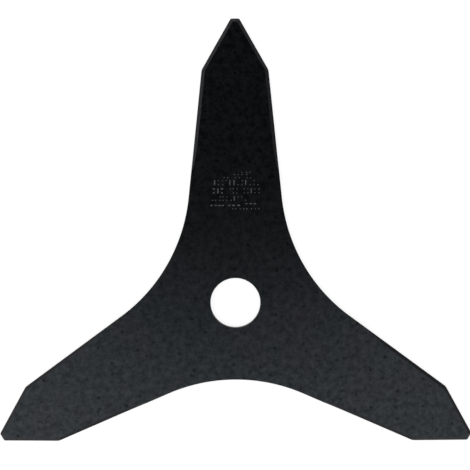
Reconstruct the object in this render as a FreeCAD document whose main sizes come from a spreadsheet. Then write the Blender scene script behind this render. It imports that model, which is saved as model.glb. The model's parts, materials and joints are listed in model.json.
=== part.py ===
"""Brush cutter blade with three straight arms: cut from plate, bored, and ground at its cutting edges.

Millimetres, +Z up. The origin is on the axis of the bore, on the underside. The first arm points along +Y,
and the blade lies flat, as it rests.
"""
import FreeCAD
import Part
import math
import os

import Sketcher

# Driving sizes: name, value, what it measures. Lengths are in millimetres and angles in degrees.
SIZES = (
    ("swing_diameter", 280.0, "circle that the flats of the tips reach"),
    ("arm_count", 3, "arms, evenly spaced"),
    ("plate_thickness", 3.0, "plate that the blade is cut from"),
    ("bore_diameter", 25.4, "centre bore, one inch"),
    ("tip_flat", 4.2, "flat end of an arm, between its slanted edges"),
    ("point_length", 24.5, "from the tip flat to the shoulders, along the arm"),
    ("shoulder_width", 33.0, "across the two shoulders of an arm"),
    ("side_taper", 6.25, "each side of an arm from its axis, wider towards the root"),
    ("root_radius", 86.0, "hollow arc from one arm into the next"),
    ("tip_corner_radius", 1.2, "rounding of the tip flat's two corners, seen from above"),
    ("bevel_width", 1.7, "ground bevel, seen from above"),
    ("edge_land", 1.0, "square edge that is left between the upper and lower bevel"),
    ("side_bevel_length", 36.5, "full bevel on the side of an arm, from the shoulder"),
    ("wheel_radius", 125.0, "grinding wheel, whose curve is left where the side bevel runs out"),
)
GIVEN = {name: value for name, value, meaning in SIZES}

# Relations that more than one feature uses, written for the expressions of the document.
TIP_REACH = "sizes.swing_diameter / 2"
SLANT_ANGLE = "atan((sizes.shoulder_width - sizes.tip_flat) / 2 / sizes.point_length)"
SIDE_HEADING = "(sizes.side_taper - 90) * 1 deg"
BEVEL_SLOPE = "atan((sizes.plate_thickness - sizes.edge_land) / 2 / sizes.bevel_width)"

# Numbers by which a sketch names the points of its geometry, and its own origin and vertical axis.
START, END, CENTRE = 1, 2, 3
ORIGIN = -1
VERTICAL_AXIS = -2


def add_sizes(doc):
    """Put the driving sizes into a sheet, one to a row, with the name as the cell's alias."""
    sheet = doc.addObject("Spreadsheet::Sheet", "sizes")
    for row, (name, value, meaning) in enumerate(SIZES, start=1):
        sheet.set(f"A{row}", name)
        sheet.set(f"B{row}", str(value))
        sheet.set(f"C{row}", meaning)
        sheet.setAlias(f"B{row}", name)
    doc.recompute()


def origin_feature(body, role):
    """Return the plane or axis of the body's own origin that has this role."""
    for feature in body.Origin.OriginFeatures:
        if feature.Role == role:
            return feature
    raise ValueError(f"the body's origin has no {role}")


def new_sketch(body, name):
    """Add an empty sketch on the body's middle plane."""
    sketch = body.newObject("Sketcher::SketchObject", name)
    sketch.AttachmentSupport = [(origin_feature(body, "XY_Plane"), "")]
    sketch.MapMode = "FlatFace"
    return sketch


def point(x, y):
    return FreeCAD.Vector(x, y, 0)


def add_line(sketch, start, end):
    return sketch.addGeometry(Part.LineSegment(start, end))


def add_arc(sketch, centre, radius, first_angle, last_angle):
    """Add an arc that runs anticlockwise between two angles in radians."""
    circle = Part.Circle(centre, FreeCAD.Vector(0, 0, 1), radius)
    return sketch.addGeometry(Part.ArcOfCircle(circle, first_angle, last_angle))


def add_rules(sketch, rules):
    """Add geometric constraints, each a tuple of its kind and what it joins."""
    for rule in rules:
        sketch.addConstraint(Sketcher.Constraint(*rule))


def add_dimensions(sketch, dimensions):
    """Add dimensions that follow the sheet, each a name, an expression, and a kind with what it measures."""
    for name, expression, *rule in dimensions:
        now = sketch.evalExpression(expression)
        value = math.radians(now.Value) if rule[0] == "Angle" else float(now)
        index = sketch.addConstraint(Sketcher.Constraint(*rule, value))
        sketch.renameConstraint(index, name)
        sketch.setExpression(f"Constraints.{name}", expression)


def draw_half_arm(body):
    """Sketch the right half of one arm, from the tip down to the ray midway between two arms."""
    reach = GIVEN["swing_diameter"] / 2
    half_flat = GIVEN["tip_flat"] / 2
    half_shoulder = GIVEN["shoulder_width"] / 2
    shoulder_y = reach - GIVEN["point_length"]
    slant = math.atan2(half_shoulder - half_flat, GIVEN["point_length"])
    taper = math.radians(GIVEN["side_taper"])
    spread = math.pi / GIVEN["arm_count"]

    # The corner's circle touches the flat and the slanted edge.
    corner_radius = GIVEN["tip_corner_radius"]
    corner_x = half_flat - corner_radius * (1 - math.sin(slant)) / math.cos(slant)
    corner_centre = point(corner_x, reach - corner_radius)
    slant_start = corner_centre + point(math.cos(slant), math.sin(slant)) * corner_radius

    # The root's circle touches the side, and its centre lies on the ray.
    root_radius = GIVEN["root_radius"]
    outward = point(math.cos(taper), math.sin(taper))
    ray = point(math.sin(spread), math.cos(spread))
    shoulder = point(half_shoulder, shoulder_y)
    root_centre = ray * ((root_radius + shoulder.dot(outward)) / ray.dot(outward))
    side_end = root_centre - outward * root_radius
    waist = root_centre - ray * root_radius

    sketch = new_sketch(body, "half_arm_outline")
    axis_line = add_line(sketch, point(0, 0), point(0, reach))
    flat_line = add_line(sketch, point(0, reach), point(corner_x, reach))
    corner_arc = add_arc(sketch, corner_centre, corner_radius, slant, math.pi / 2)
    slant_line = add_line(sketch, slant_start, shoulder)
    side_line = add_line(sketch, shoulder, side_end)
    root_arc = add_arc(sketch, root_centre, root_radius, math.pi + taper, 1.5 * math.pi - spread)
    ray_line = add_line(sketch, point(0, 0), waist)
    sharp_corner = sketch.addGeometry(Part.Point(point(half_flat, reach)), True)
    add_rules(sketch, (
        ("Coincident", axis_line, START, ORIGIN, START),
        ("PointOnObject", axis_line, END, VERTICAL_AXIS),
        ("Coincident", axis_line, END, flat_line, START),
        ("Horizontal", flat_line),
        ("Tangent", flat_line, END, corner_arc, END),
        ("Tangent", corner_arc, START, slant_line, START),
        ("Coincident", slant_line, END, side_line, START),
        ("Tangent", side_line, END, root_arc, START),
        ("Coincident", root_arc, END, ray_line, END),
        ("Coincident", ray_line, START, ORIGIN, START),
        ("PointOnObject", root_arc, CENTRE, ray_line),
        ("PointOnObject", sharp_corner, START, flat_line),
        ("PointOnObject", sharp_corner, START, slant_line),
    ))
    add_dimensions(sketch, (
        ("tip_reach", TIP_REACH, "DistanceY", ORIGIN, START, sharp_corner, START),
        ("half_flat", "sizes.tip_flat / 2", "DistanceX", ORIGIN, START, sharp_corner, START),
        ("corner_radius", "sizes.tip_corner_radius", "Radius", corner_arc),
        ("half_shoulder", "sizes.shoulder_width / 2", "DistanceX", ORIGIN, START, slant_line, END),
        ("point_length", "sizes.point_length", "DistanceY", slant_line, END, sharp_corner, START),
        ("side_heading", SIDE_HEADING, "Angle", side_line),
        ("root_radius", "sizes.root_radius", "Radius", root_arc),
        ("ray_heading", "(90 - 180 / sizes.arm_count) * 1 deg", "Angle", ray_line),
    ))
    return sketch


def cut_from_plate(body, sketch):
    """Give the outline the plate's thickness, half above and half below the middle plane."""
    plate = body.newObject("PartDesign::Pad", "half_arm")
    plate.Profile = sketch
    plate.SideType = "Symmetric"
    plate.setExpression("Length", "sizes.plate_thickness")
    return plate


def stand_on_edge(sketch, heading, corner_x, corner_y):
    """Stand a wheel's path on the foot of a bevel: X runs along the edge, and Y away from the bevel."""
    sketch.setExpression("AttachmentOffset.Base.x", corner_x)
    sketch.setExpression("AttachmentOffset.Base.y", corner_y)
    sketch.setExpression("AttachmentOffset.Base.z", "sizes.edge_land / 2")
    sketch.setExpression("AttachmentOffset.Rotation.Yaw", heading)
    sketch.setExpression("AttachmentOffset.Rotation.Roll", f"90 deg - {BEVEL_SLOPE}")


def grind(body, name, sketch):
    """Take away what the wheel passes through, as far to each side as the plate and the bevel reach."""
    cut = body.newObject("PartDesign::Pocket", name)
    cut.Profile = sketch
    cut.SideType = "Symmetric"
    cut.setExpression("Length", "2 * (sizes.plate_thickness + sizes.bevel_width)")
    return cut


def grind_through(body, name, heading, corner_x, corner_y, edge_length):
    """Grind one straight edge from end to end, starting at its corner nearer the tip's middle."""
    overrun = GIVEN["bevel_width"]
    height = GIVEN["plate_thickness"]
    sketch = new_sketch(body, f"{name}_path")
    far = float(sketch.evalExpression(edge_length)) + overrun
    bottom = add_line(sketch, point(-overrun, 0), point(far, 0))
    far_end = add_line(sketch, point(far, 0), point(far, height))
    top = add_line(sketch, point(far, height), point(-overrun, height))
    near_end = add_line(sketch, point(-overrun, height), point(-overrun, 0))
    add_rules(sketch, (
        ("Coincident", bottom, END, far_end, START),
        ("Coincident", far_end, END, top, START),
        ("Coincident", top, END, near_end, START),
        ("Coincident", near_end, END, bottom, START),
        ("Horizontal", bottom),
        ("Vertical", far_end),
        ("Horizontal", top),
        ("Vertical", near_end),
        ("PointOnObject", ORIGIN, START, bottom),
    ))
    add_dimensions(sketch, (
        ("lead_in", "sizes.bevel_width", "DistanceX", bottom, START, ORIGIN, START),
        ("travel", f"{edge_length} + sizes.bevel_width", "DistanceX", ORIGIN, START, bottom, END),
        ("height", "sizes.plate_thickness", "DistanceY", far_end, START, far_end, END),
    ))
    stand_on_edge(sketch, heading, corner_x, corner_y)
    return grind(body, name, sketch)


def grind_side(body):
    """Grind the side from the shoulder inwards, and lift the wheel out along its own radius."""
    overrun = GIVEN["bevel_width"]
    height = GIVEN["plate_thickness"]
    length = GIVEN["side_bevel_length"]
    radius = GIVEN["wheel_radius"]
    lift_angle = math.acos(1 - height / radius)
    lift_x = length + radius * math.sin(lift_angle)
    sketch = new_sketch(body, "side_bevel_path")
    bottom = add_line(sketch, point(-overrun, 0), point(length, 0))
    run_out = add_arc(sketch, point(length, radius), radius, 1.5 * math.pi, 1.5 * math.pi + lift_angle)
    top = add_line(sketch, point(lift_x, height), point(-overrun, height))
    near_end = add_line(sketch, point(-overrun, height), point(-overrun, 0))
    add_rules(sketch, (
        ("Tangent", bottom, END, run_out, START),
        ("Coincident", run_out, END, top, START),
        ("Coincident", top, END, near_end, START),
        ("Coincident", near_end, END, bottom, START),
        ("Horizontal", bottom),
        ("Horizontal", top),
        ("Vertical", near_end),
        ("PointOnObject", ORIGIN, START, bottom),
    ))
    add_dimensions(sketch, (
        ("lead_in", "sizes.bevel_width", "DistanceX", bottom, START, ORIGIN, START),
        ("full_bevel", "sizes.side_bevel_length", "DistanceX", ORIGIN, START, bottom, END),
        ("wheel_radius", "sizes.wheel_radius", "Radius", run_out),
        ("height", "sizes.plate_thickness", "DistanceY", near_end, END, near_end, START),
    ))
    stand_on_edge(sketch, SIDE_HEADING, "sizes.shoulder_width / 2", f"{TIP_REACH} - sizes.point_length")
    return grind(body, "side_bevel", sketch)


def grind_half_arm(body):
    """Grind the upper bevels of the half arm: the tip flat, the slanted edge and the side."""
    slant_length = f"sizes.point_length / cos({SLANT_ANGLE})"
    return [
        grind_through(body, "tip_bevel", "0 deg", "-sizes.tip_flat / 2", TIP_REACH, "sizes.tip_flat"),
        grind_through(body, "slant_bevel", f"{SLANT_ANGLE} - 90 deg",
                      "sizes.tip_flat / 2", TIP_REACH, slant_length),
        grind_side(body),
    ]


def mirror_cuts(body, cuts):
    """Grind the lower face as the upper one, so that the blade can be turned over."""
    mirrored = body.newObject("PartDesign::Mirrored", "lower_bevels")
    mirrored.Originals = cuts
    mirrored.MirrorPlane = (origin_feature(body, "XY_Plane"), [""])
    body.Tip = mirrored
    return mirrored


def mirror_half(body):
    """Complete the arm with its left half."""
    mirrored = body.newObject("PartDesign::Mirrored", "whole_arm")
    mirrored.TransformMode = "Whole shape"
    mirrored.MirrorPlane = (origin_feature(body, "YZ_Plane"), [""])
    body.Tip = mirrored
    return mirrored


def repeat_arm(body):
    """Turn the arm about the bore's axis, once for each arm."""
    pattern = body.newObject("PartDesign::PolarPattern", "all_arms")
    pattern.TransformMode = "Whole shape"
    pattern.Axis = (origin_feature(body, "Z_Axis"), [""])
    pattern.Angle = 360.0
    pattern.setExpression("Occurrences", "sizes.arm_count")
    body.Tip = pattern
    return pattern


def bore_hub(body):
    """Bore the hub through its whole thickness."""
    sketch = new_sketch(body, "bore_circle")
    centre = point(0, 0)
    circle = sketch.addGeometry(Part.Circle(centre, FreeCAD.Vector(0, 0, 1), GIVEN["bore_diameter"] / 2))
    add_rules(sketch, (("Coincident", circle, CENTRE, ORIGIN, START),))
    add_dimensions(sketch, (("bore_diameter", "sizes.bore_diameter", "Diameter", circle),))
    bore = body.newObject("PartDesign::Pocket", "bore")
    bore.Profile = sketch
    bore.SideType = "Symmetric"
    bore.setExpression("Length", "2 * sizes.plate_thickness")
    return bore


def volume_after(doc, feature):
    """Recompute, and return the feature's volume if its shape is sound."""
    doc.recompute()
    shape = feature.Shape
    if shape.isNull() or not shape.isValid():
        raise RuntimeError(f"{feature.Label} has no valid shape")
    return shape.Volume


def build_blade(doc):
    """Build the blade in one body, whose middle plane lies half the plate's thickness above the origin."""
    body = doc.addObject("PartDesign::Body", "blade")
    body.Label = "blade"
    body.setExpression("Placement.Base.z", "sizes.plate_thickness / 2")
    volume = volume_after(doc, cut_from_plate(body, draw_half_arm(body)))
    cuts = grind_half_arm(body)
    for cut in (*cuts, mirror_cuts(body, cuts)):
        left = volume_after(doc, cut)
        if left >= volume:
            raise RuntimeError(f"{cut.Label} removes nothing")
        volume = left
    for copy in (mirror_half(body), repeat_arm(body)):
        grown = volume_after(doc, copy)
        if grown <= volume:
            raise RuntimeError(f"{copy.Label} adds nothing")
        volume = grown
    if volume_after(doc, bore_hub(body)) >= volume:
        raise RuntimeError("the bore removes nothing")
    return body


def check_document(doc, body):
    """Stop if any object of the document failed, or the blade is not one sound solid."""
    for item in doc.Objects:
        if "Invalid" in item.State or "Error" in item.State:
            raise RuntimeError(f"{item.Label} did not recompute: {item.State}")
    shape = body.Shape
    if shape.isNull() or not shape.isValid() or len(shape.Solids) != 1:
        raise RuntimeError("the blade is not one sound solid")


def main():
    doc = FreeCAD.newDocument("brush_cutter_blade")
    add_sizes(doc)
    blade = build_blade(doc)
    doc.recompute()
    check_document(doc, blade)
    os.makedirs("parts", exist_ok=True)
    blade.Shape.exportStep(f"parts/{blade.Label}.step")
    box = blade.Shape.optimalBoundingBox(False)
    print(f"{blade.Label}: {blade.Shape.Volume:.1f} mm3, {len(blade.Shape.Faces)} faces, "
          f"X {box.XMin:.2f}..{box.XMax:.2f}, Y {box.YMin:.2f}..{box.YMax:.2f}, "
          f"Z {box.ZMin:.2f}..{box.ZMax:.2f}")


main()
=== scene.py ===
"""Looks of the brush cutter blade: a ground and blackened steel plate on a white table, in soft light.

Metres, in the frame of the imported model: the bore's axis is +Z, the underside lies on the table and the
first arm points along +Y.
"""
import json
import math
import random

import bmesh
import bpy
from mathutils import Matrix, Vector
from mathutils.geometry import delaunay_2d_cdt


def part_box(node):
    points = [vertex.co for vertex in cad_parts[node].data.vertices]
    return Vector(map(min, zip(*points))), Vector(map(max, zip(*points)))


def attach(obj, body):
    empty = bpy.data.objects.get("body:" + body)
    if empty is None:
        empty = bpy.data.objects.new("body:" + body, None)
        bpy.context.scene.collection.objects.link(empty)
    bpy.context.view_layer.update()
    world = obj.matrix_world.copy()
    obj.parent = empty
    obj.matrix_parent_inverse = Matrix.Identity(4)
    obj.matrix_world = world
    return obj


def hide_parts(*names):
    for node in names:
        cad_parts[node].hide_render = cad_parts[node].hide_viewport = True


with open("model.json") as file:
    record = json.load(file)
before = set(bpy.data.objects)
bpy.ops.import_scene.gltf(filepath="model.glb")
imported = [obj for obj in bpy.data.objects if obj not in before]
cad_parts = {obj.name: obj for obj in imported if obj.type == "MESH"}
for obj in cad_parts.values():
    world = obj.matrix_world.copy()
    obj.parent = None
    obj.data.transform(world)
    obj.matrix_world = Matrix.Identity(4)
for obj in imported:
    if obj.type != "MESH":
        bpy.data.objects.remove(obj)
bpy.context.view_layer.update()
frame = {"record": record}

MM = 0.001

# What the frame gives.
NODE = "blade"
LOW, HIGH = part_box(NODE)
HALF = (HIGH.z - LOW.z) / 2
TIP_REACH = HIGH.y
BORE_RADIUS = next(m["dims"]["r_mm"] for m in frame["record"]["mounts"] if m["name"] == "bore") * MM

# Driving sizes of the blade.
ARM_COUNT = 3
TIP_FLAT = 4.2 * MM
POINT_LENGTH = 24.5 * MM
SHOULDER_WIDTH = 33.0 * MM
SIDE_TAPER = math.radians(6.25)
ROOT_RADIUS = 86.0 * MM
TIP_CORNER_RADIUS = 1.2 * MM
BEVEL_WIDTH = 1.7 * MM
EDGE_LAND = 1.0 * MM
SIDE_BEVEL_LENGTH = 36.5 * MM
WHEEL_RADIUS = 125.0 * MM

# What the finish adds: broken edges, eased shoulders, and a bevel that wanders a little.
EDGE_ROUNDING = 0.14 * MM
BORE_ROUNDING = 0.08 * MM
SHOULDER_RADIUS = 5.0 * MM
WANDER_DEPTH = 0.04 * MM
WANDER_PITCHES = (23.0 * MM, 9.1 * MM)

# How finely the mesh follows the shape, and how near to each other two of its points count as one.
STATION_STEP = 1.5 * MM
CORNER_STATIONS = 9
BORE_STATIONS = 96
OUTER_STEPS = 3
INNER_STEPS = 2
FACE_STEP = 7.0 * MM
FACE_MARGIN = 0.4 * FACE_STEP
SAME_POINT = 0.001 * MM
SAME_CORNER = 0.0001 * MM
FILL_TOLERANCE = 0.00001 * MM

# Slope of the bevel against the face, angle of its normal from the outline wall's normal, and the normals
# that the rounding takes on from the wall to the bevel and from the bevel to the face.
BEVEL_SLOPE = math.atan2(HALF - EDGE_LAND / 2, BEVEL_WIDTH)
BEVEL_NORMAL = math.pi / 2 - BEVEL_SLOPE
OUTER_ANGLES = [BEVEL_NORMAL * i / OUTER_STEPS for i in range(OUTER_STEPS + 1)]
INNER_ANGLES = [BEVEL_NORMAL + BEVEL_SLOPE * i / INNER_STEPS for i in range(INNER_STEPS + 1)]

# Material indices on the blade.
FACE, GROUND, CUT, EDGE, MARK = range(5)

# The rows of wordless marks at the root of the first arm: kind, height of the row's middle, left end,
# right end, height of a mark, share of places that stay empty.
MARK_ROWS = (
    ("strokes", 65.0 * MM, -1.6 * MM, 8.6 * MM, 1.6 * MM, 0.00),
    ("dots", 62.9 * MM, -8.6 * MM, 8.8 * MM, 0.5 * MM, 0.40),
    ("strokes", 60.5 * MM, -11.4 * MM, 12.2 * MM, 2.5 * MM, 0.00),
    ("blocks", 56.4 * MM, -11.6 * MM, -5.6 * MM, 2.5 * MM, 0.00),
    ("strokes", 56.4 * MM, -3.6 * MM, 12.8 * MM, 2.4 * MM, 0.20),
    ("strokes", 52.6 * MM, -12.4 * MM, 6.2 * MM, 2.2 * MM, 0.05),
    ("dashes", 49.2 * MM, -12.6 * MM, -5.4 * MM, 0.6 * MM, 0.00),
    ("dashes", 49.2 * MM, -4.0 * MM, 2.6 * MM, 0.7 * MM, 0.00),
    ("dashes", 50.0 * MM, 4.4 * MM, 12.8 * MM, 0.5 * MM, 0.10),
    ("dots", 47.5 * MM, -2.4 * MM, 12.6 * MM, 0.6 * MM, 0.30),
)
MARK_PITCH = 1.9 * MM
MARK_NUDGE = 0.15 * MARK_PITCH
STROKE = 0.5 * MM
BOLD_HALF = 0.6 * STROKE
FOOT_HALF = 0.8 * STROKE
DASH = 1.3 * MM
CLIP_SHARE = 0.4
MARK_DEPTH = 0.03 * MM
MARK_SEED = 11


class Station:
    """One place along the outline, and what its cross-section hangs on.

    The outer rows step in from point along inward, raised by lift. The inner rows step in from base along
    reach, which is longer than one at a mitre.
    """

    def __init__(self, point, inward, base=None, reach=None, lift=0.0, hip=False):
        self.point = point
        self.inward = inward
        self.base = point if base is None else base
        self.reach = inward if reach is None else reach
        self.lift = lift
        self.hip = hip
        self.width = BEVEL_WIDTH

    def changed(self, change):
        """Copy the station with each of its vectors put through one function."""
        other = Station(change(self.point), change(self.inward), change(self.base), change(self.reach),
                        self.lift, self.hip)
        other.width = self.width
        return other


def turned(vector, angle):
    """Turn a plan vector anticlockwise."""
    c, s = math.cos(angle), math.sin(angle)
    return Vector((c * vector.x - s * vector.y, s * vector.x + c * vector.y))


def mirrored(vector):
    """Reflect a plan vector in the first arm's middle line."""
    return Vector((-vector.x, vector.y))


def mitre(first, second):
    """The vector from a corner that gains one unit of depth from both of its sides."""
    return (first + second) / (1 + first.dot(second))


def corner_stations(corner, first, second, radius):
    """Round a convex corner between two sides, given by their inward directions, turning clockwise."""
    turn = first.angle(second)
    reach = mitre(first, second)
    centre = corner + reach * radius
    stations = []
    for i in range(CORNER_STATIONS):
        inward = turned(first, -turn * i / (CORNER_STATIONS - 1))
        point = centre - inward * radius
        depth = min((point - corner).dot(first), (point - corner).dot(second))
        lift = depth * math.tan(BEVEL_SLOPE)
        stations.append(Station(point, inward, corner, reach, lift, i == CORNER_STATIONS // 2))
    return stations


def edge_stations(before, after, inward):
    """Stations on the straight edge between two that stand at its ends."""
    count = max(2, round((after.point - before.point).length / STATION_STEP))
    stations = []
    for i in range(1, count):
        t = i / count
        stations.append(Station(before.point.lerp(after.point, t), inward,
                                before.base.lerp(after.base, t), before.reach.lerp(after.reach, t)))
    return stations


def half_arm():
    """Stations of the right half of the first arm, from the middle of the tip to the waist."""
    slant = math.atan2((SHOULDER_WIDTH - TIP_FLAT) / 2, POINT_LENGTH)
    tip_in = Vector((0, -1))
    slant_in = turned(Vector((-1, 0)), slant)
    side_in = turned(Vector((-1, 0)), SIDE_TAPER)
    shoulder = Vector((SHOULDER_WIDTH / 2, TIP_REACH - POINT_LENGTH))
    ray = Vector((math.sin(math.pi / ARM_COUNT), math.cos(math.pi / ARM_COUNT)))
    root_centre = ray * ((shoulder.dot(side_in) - ROOT_RADIUS) / ray.dot(side_in))

    tip = Station(Vector((0, TIP_REACH)), tip_in)
    tip_corner = corner_stations(Vector((TIP_FLAT / 2, TIP_REACH)), tip_in, slant_in, TIP_CORNER_RADIUS)
    shoulder_corner = corner_stations(shoulder, slant_in, side_in, SHOULDER_RADIUS)
    side_end = Station(root_centre + side_in * ROOT_RADIUS, side_in)
    side = edge_stations(shoulder_corner[-1], side_end, side_in)
    # Past its length on the side the bevel narrows along the wheel's curve, until it is gone.
    for station in side:
        past = (station.point - shoulder).length - SIDE_BEVEL_LENGTH
        if past > 0:
            rise = WHEEL_RADIUS - math.sqrt(WHEEL_RADIUS ** 2 - past ** 2)
            station.width = max(0.0, BEVEL_WIDTH - rise / math.sin(BEVEL_SLOPE))

    turn = side_in.angle(-ray)
    steps = round(turn * ROOT_RADIUS / STATION_STEP)
    root = []
    for i in range(steps + 1):
        inward = turned(side_in, turn * i / steps)
        root.append(Station(root_centre + inward * ROOT_RADIUS, inward))
        root[-1].width = 0.0
    return [tip, *edge_stations(tip, tip_corner[0], tip_in), *tip_corner,
            *edge_stations(tip_corner[-1], shoulder_corner[0], slant_in), *shoulder_corner, *side, *root]


def outline():
    """All stations, clockwise from above, starting at the waist to the left of the first arm."""
    right = half_arm()
    left = [station.changed(mirrored) for station in reversed(right[1:])]
    loop = []
    for arm in range(ARM_COUNT):
        angle = -2 * math.pi * arm / ARM_COUNT
        loop += [station.changed(lambda vector: turned(vector, angle)) for station in left + right[:-1]]
    travelled = 0.0
    for before, station in zip([loop[-1]] + loop, loop):
        travelled += (station.base - before.base).length
        wander = sum(math.sin(2 * math.pi * travelled / pitch) for pitch in WANDER_PITCHES)
        station.width += WANDER_DEPTH * wander / len(WANDER_PITCHES) * station.width / BEVEL_WIDTH
    return loop


def section(width):
    """Depth and height of each row of the cross-section, from the wall to the face, above the middle plane.

    A ball of the edge's rounding rolls over wall, bevel and face. Where the bevel is narrower than the ball
    can touch, it rolls straight from the wall to the face.
    """
    r = EDGE_ROUNDING
    outer = (r, HALF - (r + (width - r) * math.sin(BEVEL_SLOPE)) / math.cos(BEVEL_SLOPE))
    inner = (width + r * math.tan(BEVEL_SLOPE / 2), HALF - r)
    if outer[0] >= inner[0]:
        outer = inner = (r, HALF - r)
    rows = [(outer[0] - r * math.cos(a), outer[1] + r * math.sin(a)) for a in OUTER_ANGLES]
    rows += [(inner[0] - r * math.cos(a), inner[1] + r * math.sin(a)) for a in INNER_ANGLES]
    return rows


def station_rows(station):
    """Plan position and height of each row at a station."""
    rows = section(station.width)
    places = [(station.point + station.inward * depth, height + station.lift)
              for depth, height in rows[:len(OUTER_ANGLES)]]
    places += [(station.base + station.reach * depth, height) for depth, height in rows[len(OUTER_ANGLES):]]
    return places


def bore_rows():
    """The same for the bore, whose edges are only just broken: rows at each of its stations."""
    r = BORE_ROUNDING
    angles = OUTER_ANGLES + INNER_ANGLES[1:]
    stations = []
    for i in range(BORE_STATIONS):
        inward = turned(Vector((0, 1)), -2 * math.pi * i / BORE_STATIONS)
        stations.append([(inward * (BORE_RADIUS + r - r * math.cos(a)), HALF - r + r * math.sin(a))
                         for a in angles])
    return stations


class Skin:
    """Collects the faces of the blade's mesh, sharing the corners that fall together."""

    def __init__(self):
        self.mesh = bmesh.new()
        self.corners = {}
        self.grain = self.mesh.loops.layers.float_vector.new("grain")

    def corner(self, place, height, side):
        """The vertex at a plan position, above or below the middle plane."""
        spot = (place.x, place.y, LOW.z + HALF + side * height)
        key = tuple(round(value / SAME_CORNER) for value in spot)
        if key not in self.corners:
            self.corners[key] = self.mesh.verts.new(spot)
        return self.corners[key]

    def face(self, corners, kind, grains=None):
        """Add a face, unless its corners fall together; grains says where each corner lies along the cut."""
        kept = {}
        for i, corner in enumerate(corners):
            kept.setdefault(corner, grains[i] if grains else (*corner.co.xy, 0.0))
        if len(kept) < 3 or self.mesh.faces.get(list(kept)):
            return
        face = self.mesh.faces.new(list(kept))
        face.material_index = kind
        face.smooth = True
        for loop in face.loops:
            loop[self.grain] = kept[loop.vert]

    def band(self, stations, kinds, hips=()):
        """Join the rows of neighbouring stations of a closed loop, above and below, and close the wall."""
        run = 0.0
        for i, rows in enumerate(stations):
            after = stations[(i + 1) % len(stations)]
            step = (after[0][0] - rows[0][0]).length
            for side in (1, -1):
                across = 0.0
                for k, kind in enumerate(kinds):
                    corners = [self.corner(*rows[k], side), self.corner(*after[k], side),
                               self.corner(*after[k + 1], side), self.corner(*rows[k + 1], side)]
                    width = (corners[3].co - corners[0].co).length
                    self.face(corners, kind, [(run, across, 0), (run + step, across, 0),
                                              (run + step, across + width, 0), (run, across + width, 0)])
                    across += width
                    if i in hips and corners[0] is not corners[3] and kind == GROUND:
                        self.mesh.edges.get((corners[0], corners[3])).smooth = False
            height = rows[0][1]
            wall = [self.corner(*rows[0], 1), self.corner(*after[0], 1),
                    self.corner(*after[0], -1), self.corner(*rows[0], -1)]
            self.face(wall, CUT, [(run, height, 0), (run + step, height, 0),
                                  (run + step, -height, 0), (run, -height, 0)])
            run += step

    def close(self, outer, bore, side, marks=()):
        """Fill the flat face between the outer loop, the bore and the marks with triangles."""
        loops = [(outer, "outline"), (bore, "bore")]
        loops += [(ring, index) for index, ring in enumerate(marks)]
        points, tags, edges = [], [], []
        for ring, tag in loops:
            first = len(points)
            points += ring
            tags += [tag] * len(ring)
            edges += [(first + i, first + (i + 1) % len(ring)) for i in range(len(ring))]
        for point in lattice(outer, marks):
            points.append(point)
            tags.append(None)
        made, _, faces, origins, _, _ = delaunay_2d_cdt(points, edges, [], 0, FILL_TOLERANCE)
        # A triangle whose corners are all on one loop lies in the bore, in a mark, or beside the outline.
        for face in faces:
            sources = {tags[origins[i][0]] for i in face}
            if sources == {"outline"}:
                middle = sum((made[i] for i in face), Vector((0, 0))) / 3
                if not encloses(outer, middle):
                    continue
            elif len(sources) == 1 and None not in sources:
                continue
            self.face([self.corner(points[origins[i][0]], HALF, side) for i in face], FACE)


def encloses(ring, point):
    """Whether a point lies inside a closed ring, by counting the sides to its right."""
    crossings = 0
    for a, b in zip(ring, ring[1:] + ring[:1]):
        if (a.y > point.y) != (b.y > point.y):
            crossings += point.x < a.x + (b.x - a.x) * (point.y - a.y) / (b.y - a.y)
    return crossings % 2 == 1


def lattice(outer, marks):
    """Evenly spread points that give the flat face well-shaped triangles, clear of every edge."""
    row_step = FACE_STEP * math.sqrt(3) / 2
    left, right = min(p.x for p in outer), max(p.x for p in outer)
    bottom, top = min(p.y for p in outer), max(p.y for p in outer)
    centres = [sum(ring, Vector((0, 0))) / len(ring) for ring in marks]
    for row in range(math.ceil((top - bottom) / row_step)):
        for column in range(math.ceil((right - left) / FACE_STEP)):
            point = Vector((left + (column + 0.5 * (row % 2)) * FACE_STEP, bottom + row * row_step))
            if point.length < BORE_RADIUS + FACE_MARGIN or not encloses(outer, point):
                continue
            if min((point - p).length for p in outer) < FACE_MARGIN:
                continue
            if centres and min((point - p).length for p in centres) < FACE_MARGIN:
                continue
            yield point


def mark_rings():
    """Outlines of the small marks: strokes, dashes and dots in rows, without letters or words."""
    draw = random.Random(MARK_SEED)
    rings = []
    for kind, middle, left, right, height, empty in MARK_ROWS:
        places = round((right - left) / MARK_PITCH)
        for i in range(places):
            shape = draw.choice(("tick", "ends", "top", "bottom", "ends"))
            nudge = draw.uniform(-MARK_NUDGE, MARK_NUDGE)
            if draw.random() < empty:
                continue
            x = left + (i + 0.5) * (right - left) / places + nudge
            end = (height - STROKE) / 2
            if kind == "dashes":
                rings.append(box_ring(x, middle, DASH / 2, height / 2))
            elif kind == "dots":
                rings.append(box_ring(x, middle, STROKE / 2, height / 2))
            elif kind == "blocks" and i % 2:
                rings.append(box_ring(x, middle, BOLD_HALF, height / 2))
            elif kind == "blocks":
                rings.append(box_ring(x, middle + end, DASH / 2, BOLD_HALF))
                rings.append(box_ring(x, middle - end, FOOT_HALF, BOLD_HALF))
            elif shape == "tick":
                rings.append(box_ring(x, middle, STROKE / 2, height / 2))
            else:
                if shape != "bottom":
                    rings.append(box_ring(x, middle + end, STROKE / 2, STROKE / 2))
                if shape != "top":
                    rings.append(box_ring(x, middle - end, STROKE / 2, STROKE / 2))
    return rings


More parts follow.
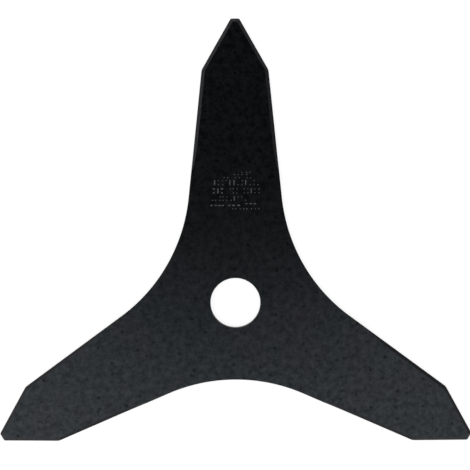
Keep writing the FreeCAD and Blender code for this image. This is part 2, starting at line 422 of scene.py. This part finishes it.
def box_ring(x, y, half_width, half_height):
    """A small rectangle with clipped corners, clockwise."""
    clip = CLIP_SHARE * min(half_width, half_height)
    ring = []
    for sx, sy in ((1, 1), (1, -1), (-1, -1), (-1, 1)):
        corner = (Vector((x + sx * (half_width - clip), y + sy * half_height)),
                  Vector((x + sx * half_width, y + sy * (half_height - clip))))
        ring += corner if sx * sy > 0 else reversed(corner)
    return ring


def sink_marks(skin, rings):
    """Give each mark its shallow wall and floor, and a sharp rim that leaves the face's shading flat."""
    for ring in rings:
        middle = sum(ring, Vector((0, 0))) / len(ring)
        floor = [point + (middle - point).normalized() * MARK_DEPTH for point in ring]
        rim = [skin.corner(point, HALF, 1) for point in ring]
        sunk = [skin.corner(point, HALF - MARK_DEPTH, 1) for point in floor]
        for i in range(len(ring)):
            j = (i + 1) % len(ring)
            skin.face([rim[i], rim[j], sunk[j], sunk[i]], MARK)
            skin.mesh.edges.get((rim[i], rim[j])).smooth = False
        skin.face(sunk, MARK)


def make_blade():
    """Build the blade's mesh from its cross-sections."""
    loop = outline()
    rows = [station_rows(station) for station in loop]
    bore = bore_rows()
    hips = {i for i, station in enumerate(loop) if station.hip}
    rings = mark_rings()
    skin = Skin()
    skin.band(rows, [EDGE] * OUTER_STEPS + [GROUND] + [EDGE] * INNER_STEPS, hips)
    skin.band(bore, [CUT] * (len(bore[0]) - 1))
    outer = distinct([places[-1][0] for places in rows])
    inner = [places[-1][0] for places in bore]
    skin.close(outer, inner, 1, rings)
    skin.close(outer, inner, -1)
    sink_marks(skin, rings)
    bmesh.ops.recalc_face_normals(skin.mesh, faces=skin.mesh.faces)
    mesh = bpy.data.meshes.new("ground_blade")
    skin.mesh.to_mesh(mesh)
    skin.mesh.free()
    blade = bpy.data.objects.new("ground_blade", mesh)
    bpy.context.scene.collection.objects.link(blade)
    weighted = blade.modifiers.new("flat_faces", "WEIGHTED_NORMAL")
    weighted.keep_sharp = True
    return blade


def distinct(points):
    """Drop the points that repeat the one before."""
    kept = []
    for point in points:
        if not kept or (point - kept[-1]).length > SAME_POINT:
            kept.append(point)
    return kept


def node(tree, kind, inputs=None, **settings):
    """Add a node, set its properties, and set or link its inputs."""
    made = tree.nodes.new(kind)
    for name, value in settings.items():
        setattr(made, name, value)
    for name, value in (inputs or {}).items():
        if isinstance(value, bpy.types.NodeSocket):
            tree.links.new(value, made.inputs[name])
        else:
            made.inputs[name].default_value = value
    return made


def new_material(name):
    """An empty node material and its output."""
    material = bpy.data.materials.new(name)
    material.use_nodes = True
    material.node_tree.nodes.clear()
    return material, material.node_tree, node(material.node_tree, "ShaderNodeOutputMaterial")


def maths(tree, operation, *values):
    """One piece of arithmetic on numbers or sockets."""
    return node(tree, "ShaderNodeMath", dict(enumerate(values)), operation=operation).outputs[0]


def noise(tree, vector, size, detail=2.0, roughness=0.55):
    """Cloudy noise whose features measure about the given length."""
    return node(tree, "ShaderNodeTexNoise", {"Vector": vector, "Scale": 1 / size, "Detail": detail,
                                             "Roughness": roughness}).outputs["Fac"]


def spread(tree, value, low, high, to_low=0.0, to_high=1.0):
    """Map a range of values onto another, clamped."""
    return node(tree, "ShaderNodeMapRange", {"Value": value, "From Min": low, "From Max": high,
                                             "To Min": to_low, "To Max": to_high}).outputs["Result"]


def ramp(tree, value, stops, interpolation="LINEAR"):
    """Map a value through grey levels given at rising places."""
    made = node(tree, "ShaderNodeValToRGB", {"Fac": value})
    made.color_ramp.interpolation = interpolation
    elements = made.color_ramp.elements
    while len(elements) < len(stops):
        elements.new(1.0)
    for element, (place, level) in zip(elements, stops):
        element.position = place
        element.color = (level, level, level, 1.0)
    return made.outputs["Color"]


def blend(tree, factor, first, second):
    """Mix two colours."""
    mixed = node(tree, "ShaderNodeMix", data_type="RGBA")
    sockets = [socket for socket in mixed.inputs if socket.enabled]
    for socket, value in zip(sockets, (factor, first, second)):
        if isinstance(value, bpy.types.NodeSocket):
            tree.links.new(value, socket)
        else:
            socket.default_value = value
    return next(socket for socket in mixed.outputs if socket.enabled)


def bump(tree, height, depth, normal=None):
    """A relief whose full height is a length."""
    inputs = {"Height": height, "Distance": depth}
    if normal is not None:
        inputs["Normal"] = normal
    return node(tree, "ShaderNodeBump", inputs).outputs["Normal"]


def stretched(tree, along, across):
    """Coordinates along and across the cut, in units of one feature."""
    grain = node(tree, "ShaderNodeAttribute", attribute_name="grain").outputs["Vector"]
    return node(tree, "ShaderNodeVectorMath", {0: grain, 1: (1 / along, 1 / across, 1.0)},
                operation="MULTIPLY").outputs["Vector"]


BLACK = (0.0006, 0.0006, 0.0007, 1.0)
SOFT_BLACK = (0.0050, 0.0050, 0.0053, 1.0)
PIT_BLACK = (0.0008, 0.0008, 0.0009, 1.0)
WORN = (0.020, 0.020, 0.021, 1.0)
# Light grey of the painted highlight on the broken edges: colour standing in for the glint the edge catches.
PAINTED_GLINT = (0.14, 0.14, 0.145, 1.0)
ETCHED = (0.058, 0.058, 0.061, 1.0)

# The black mirrors a little more blue than red, and more so in some places than in others.
COOL_SHEEN = (0.75, 0.89, 1.0, 1.0)
PLAIN_SHEEN = (0.86, 0.87, 1.0, 1.0)

# Sizes of the features that the finish shows, and the depths of its reliefs.
MOTTLE_SIZE = 3.2 * MM
MOTTLE_RELIEF = 0.012 * MM
CLOUD_SIZE = 24.0 * MM
PIT_PITCH = 7.0 * MM
TOOTH_SIZE = 0.35 * MM
TOOTH_RELIEF = 0.002 * MM
LINE_WIDTH = 0.22 * MM
LINE_LENGTH = 4.0 * MM
LINE_RELIEF = 0.006 * MM
BEVEL_MOTTLE_SIZE = 1.5 * MM
FURROW_WIDTH = 0.30 * MM
FURROW_LENGTH = 5.0 * MM
FURROW_RELIEF = 0.020 * MM
# Size of the patches of rubbed black and of painted highlight on the broken edges.
WEAR_AND_GLINT_SIZE = 5.0 * MM
RUBBED_SIZE = 0.4 * MM
RUBBED_RELIEF = 0.004 * MM
BURN_SIZE = 3.0 * MM


def blackened_face():
    """The flat faces: rolled plate under a thin semi-matt black finish, with fine mottle and a few pits."""
    material, tree, output = new_material("blackened_face")
    place = node(tree, "ShaderNodeTexCoord").outputs["Object"]
    mottle = noise(tree, place, MOTTLE_SIZE, 4.0, 0.72)
    cloud = noise(tree, place, CLOUD_SIZE)
    pits = node(tree, "ShaderNodeTexVoronoi", {"Vector": place, "Scale": 1 / PIT_PITCH},
                voronoi_dimensions="2D").outputs
    depth = node(tree, "ShaderNodeSeparateColor", {0: pits["Color"]}).outputs[0]
    pit = maths(tree, "MULTIPLY", spread(tree, pits["Distance"], 0.05, 0.16, 1.0, 0.0),
                spread(tree, depth, 0.2, 0.9))
    colour = blend(tree, spread(tree, mottle, 0.38, 0.62), BLACK, SOFT_BLACK)
    colour = blend(tree, pit, colour, PIT_BLACK)
    sheen = blend(tree, spread(tree, cloud, 0.48, 0.74), COOL_SHEEN, PLAIN_SHEEN)
    gloss = spread(tree, mottle, 0.3, 0.7, 0.175, 0.375)
    gloss = maths(tree, "MULTIPLY", gloss, spread(tree, pit, 0.0, 1.0, 1.0, 0.5))
    rough = maths(tree, "ADD", spread(tree, mottle, 0.3, 0.7, 0.26, 0.21),
                  spread(tree, cloud, 0.3, 0.7, -0.02, 0.02))
    relief = bump(tree, mottle, MOTTLE_RELIEF)
    relief = bump(tree, noise(tree, place, TOOTH_SIZE), TOOTH_RELIEF, relief)
    shader = node(tree, "ShaderNodeBsdfPrincipled", {"Base Color": colour, "Roughness": rough,
                                                     "Specular IOR Level": gloss, "Specular Tint": sheen,
                                                     "Normal": relief})
    tree.links.new(shader.outputs[0], output.inputs[0])
    return material


def ground_bevel():
    """The bevels: grinding lines across the edge, still showing through the black."""
    material, tree, output = new_material("ground_bevel")
    place = node(tree, "ShaderNodeTexCoord").outputs["Object"]
    lines = noise(tree, stretched(tree, LINE_WIDTH, LINE_LENGTH), 1.0, 3.0, 0.65)
    mottle = noise(tree, place, BEVEL_MOTTLE_SIZE, 3.0, 0.6)
    colour = blend(tree, spread(tree, lines, 0.35, 0.7), BLACK, SOFT_BLACK)
    gloss = spread(tree, lines, 0.3, 0.7, 0.25, 0.39)
    rough = maths(tree, "ADD", spread(tree, lines, 0.3, 0.7, 0.40, 0.30),
                  spread(tree, mottle, 0.3, 0.7, -0.03, 0.03))
    relief = bump(tree, lines, LINE_RELIEF)
    shader = node(tree, "ShaderNodeBsdfPrincipled", {"Base Color": colour, "Roughness": rough,
                                                     "Specular IOR Level": gloss,
                                                     "Specular Tint": PLAIN_SHEEN, "Normal": relief})
    tree.links.new(shader.outputs[0], output.inputs[0])
    return material


def cut_wall():
    """The cut walls of the outline and the bore: fine upright furrows under the black."""
    material, tree, output = new_material("cut_wall")
    furrows = noise(tree, stretched(tree, FURROW_WIDTH, FURROW_LENGTH), 1.0, 3.0, 0.6)
    colour = blend(tree, spread(tree, furrows, 0.3, 0.7), BLACK, SOFT_BLACK)
    rough = spread(tree, furrows, 0.3, 0.7, 0.36, 0.50)
    relief = bump(tree, furrows, FURROW_RELIEF)
    shader = node(tree, "ShaderNodeBsdfPrincipled", {"Base Color": colour, "Roughness": rough,
                                                     "Specular IOR Level": 0.3, "Normal": relief})
    tree.links.new(shader.outputs[0], output.inputs[0])
    return material


def broken_edge():
    """The broken edges: black rubbed thinner in places, with light grey patches of painted highlight on them.
    """
    material, tree, output = new_material("broken_edge")
    place = node(tree, "ShaderNodeTexCoord").outputs["Object"]
    wear_and_glint = noise(tree, place, WEAR_AND_GLINT_SIZE, 4.0, 0.7)
    rubbed = spread(tree, wear_and_glint, 0.42, 0.66)
    colour = blend(tree, rubbed, SOFT_BLACK, WORN)
    # Painted highlight: light grey patches stand in for the glint of light that the broken edge catches.
    colour = blend(tree, spread(tree, wear_and_glint, 0.58, 0.72), colour, PAINTED_GLINT)
    rough = spread(tree, rubbed, 0.0, 1.0, 0.38, 0.30)
    relief = bump(tree, noise(tree, place, RUBBED_SIZE), RUBBED_RELIEF)
    shader = node(tree, "ShaderNodeBsdfPrincipled", {"Base Color": colour, "Roughness": rough,
                                                     "Specular IOR Level": 0.35, "Normal": relief})
    tree.links.new(shader.outputs[0], output.inputs[0])
    return material


def etched_mark():
    """The small marks: dull grey, burnt unevenly through the black."""
    material, tree, output = new_material("etched_mark")
    place = node(tree, "ShaderNodeTexCoord").outputs["Object"]
    burnt = spread(tree, noise(tree, place, BURN_SIZE, 3.0, 0.6), 0.36, 0.66)
    colour = blend(tree, burnt, WORN, ETCHED)
    shader = node(tree, "ShaderNodeBsdfPrincipled", {"Base Color": colour, "Roughness": 0.6})
    tree.links.new(shader.outputs[0], output.inputs[0])
    return material


# The table shows its own white to the camera and in reflections, and still takes a soft shadow.
TABLE_SIZE = 12.0
TABLE_GLOW = 0.84
TABLE_SHADE = 0.22
TABLE_WHITE = 0.8


def white_table():
    """Matt white for the light on the blade, and white as it is seen or mirrored, with the shadow on it."""
    material, tree, output = new_material("white_table")
    path = node(tree, "ShaderNodeLightPath")
    seen = maths(tree, "MAXIMUM", path.outputs["Is Camera Ray"], path.outputs["Is Glossy Ray"])
    seen = maths(tree, "MAXIMUM", seen, path.outputs["Is Transmission Ray"])
    plain = node(tree, "ShaderNodeBsdfDiffuse", {"Color": (TABLE_WHITE, TABLE_WHITE, TABLE_WHITE, 1)})
    shade = node(tree, "ShaderNodeBsdfDiffuse", {"Color": (TABLE_SHADE, TABLE_SHADE, TABLE_SHADE, 1)})
    glow = node(tree, "ShaderNodeEmission", {"Color": (1, 1, 1, 1), "Strength": TABLE_GLOW})
    white = node(tree, "ShaderNodeAddShader", {0: shade.outputs[0], 1: glow.outputs[0]})
    mixed = node(tree, "ShaderNodeMixShader", {0: seen, 1: plain.outputs[0], 2: white.outputs[0]})
    tree.links.new(mixed.outputs[0], output.inputs[0])
    return material


def make_table():
    """A wide white table under the blade."""
    mesh = bpy.data.meshes.new("table")
    reach = TABLE_SIZE / 2
    mesh.from_pydata([(-reach, -reach, LOW.z), (reach, -reach, LOW.z), (reach, reach, LOW.z),
                      (-reach, reach, LOW.z)], [], [(0, 1, 2, 3)])
    table = bpy.data.objects.new("table", mesh)
    table.data.materials.append(white_table())
    bpy.context.scene.collection.objects.link(table)


# Soft surroundings. The light follows the height of the direction, given as the sine of the elevation: the
# white that the table ends in, grey walls and a bright ring. The walls are brighter on the left. An unlit
# round of ceiling, which leans toward the first arm's tip, darkens what mirrors it: the light comes back with
# the angle from its middle.
SKY_LEVEL = 1.9
SKY_STOPS = ((0.20, 1.00 / SKY_LEVEL), (0.34, 0.50 / SKY_LEVEL), (0.55, 0.50 / SKY_LEVEL), (0.80, 1.00))
LEFT_EXCESS = 1.4
LEFT_RISE = (0.20, 0.36)
DARK_LEAN = math.radians(14)
DARK_STOPS = ((math.radians(17), 0.01), (math.radians(28), 0.75), (math.radians(35), 1.00))


def left_share(tree, parts):
    """How the light changes from left to right, between the horizon and the zenith."""
    rise = spread(tree, parts["Z"], *LEFT_RISE)
    lean = maths(tree, "MULTIPLY", rise, maths(tree, "SUBTRACT", 1.0, parts["Z"]))
    return maths(tree, "MULTIPLY_ADD", parts["X"], maths(tree, "MULTIPLY", lean, -LEFT_EXCESS), 1.0)


def dark_share(tree, way):
    """What is left of the light near the unlit round."""
    middle = (0.0, math.sin(DARK_LEAN), math.cos(DARK_LEAN))
    close = node(tree, "ShaderNodeVectorMath", {0: way, 1: middle}, operation="DOT_PRODUCT").outputs["Value"]
    return ramp(tree, maths(tree, "ARCCOSINE", close), DARK_STOPS)


def make_surroundings():
    """Light the scene from all around."""
    world = bpy.data.worlds.new("surroundings")
    world.use_nodes = True
    tree = world.node_tree
    tree.nodes.clear()
    output = node(tree, "ShaderNodeOutputWorld")
    way = node(tree, "ShaderNodeTexCoord").outputs["Generated"]
    parts = node(tree, "ShaderNodeSeparateXYZ", {0: way}).outputs
    glow = ramp(tree, parts["Z"], SKY_STOPS, "EASE")
    share = maths(tree, "MULTIPLY", left_share(tree, parts), dark_share(tree, way))
    strength = maths(tree, "MULTIPLY", share, SKY_LEVEL)
    sky = node(tree, "ShaderNodeBackground", {"Color": glow, "Strength": strength})
    tree.links.new(sky.outputs[0], output.inputs[0])
    bpy.context.scene.world = world


# The photograph's camera: how it is turned, where the blade's upper edges lie before it, and its lens. The
# photograph is cut out of a larger picture, so the lens's axis meets it below its middle.
IMAGE_SIZE = 470
FOCAL_PIXELS = 620.0
AXIS_PIXEL_Y = 281.45
SENSOR = 36.0
CAMERA_TURNS = (math.radians(5.108), math.radians(-0.021), math.radians(0.110))
CAMERA_OFFSET = Vector((0.232, -10.864, -315.583)) * MM
EDGE_HEIGHT = LOW.z + HALF + EDGE_LAND / 2
NEAR_CLIP = 10.0 * MM


def make_camera():
    """Look down on the blade, as the photograph does."""
    data = bpy.data.cameras.new("camera")
    data.sensor_width = SENSOR
    data.lens = FOCAL_PIXELS / IMAGE_SIZE * SENSOR
    data.shift_y = (AXIS_PIXEL_Y - IMAGE_SIZE / 2) / IMAGE_SIZE
    data.clip_start = NEAR_CLIP
    camera = bpy.data.objects.new("camera", data)
    about_x, about_y, about_z = CAMERA_TURNS
    view = Matrix.Translation(CAMERA_OFFSET) @ Matrix.Rotation(about_z, 4, "Z")
    view = view @ Matrix.Rotation(about_y, 4, "Y") @ Matrix.Rotation(about_x, 4, "X")
    camera.matrix_world = Matrix.Translation((0, 0, EDGE_HEIGHT)) @ view.inverted()
    bpy.context.scene.collection.objects.link(camera)
    bpy.context.scene.camera = camera


def main():
    """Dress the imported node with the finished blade, and set up the table, the light and the camera."""
    blade = make_blade()
    for material in (blackened_face(), ground_bevel(), cut_wall(), broken_edge(), etched_mark()):
        blade.data.materials.append(material)
    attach(blade, "root")
    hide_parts(NODE)
    make_table()
    make_surroundings()
    make_camera()
    bpy.context.scene.view_settings.view_transform = "Standard"


main()
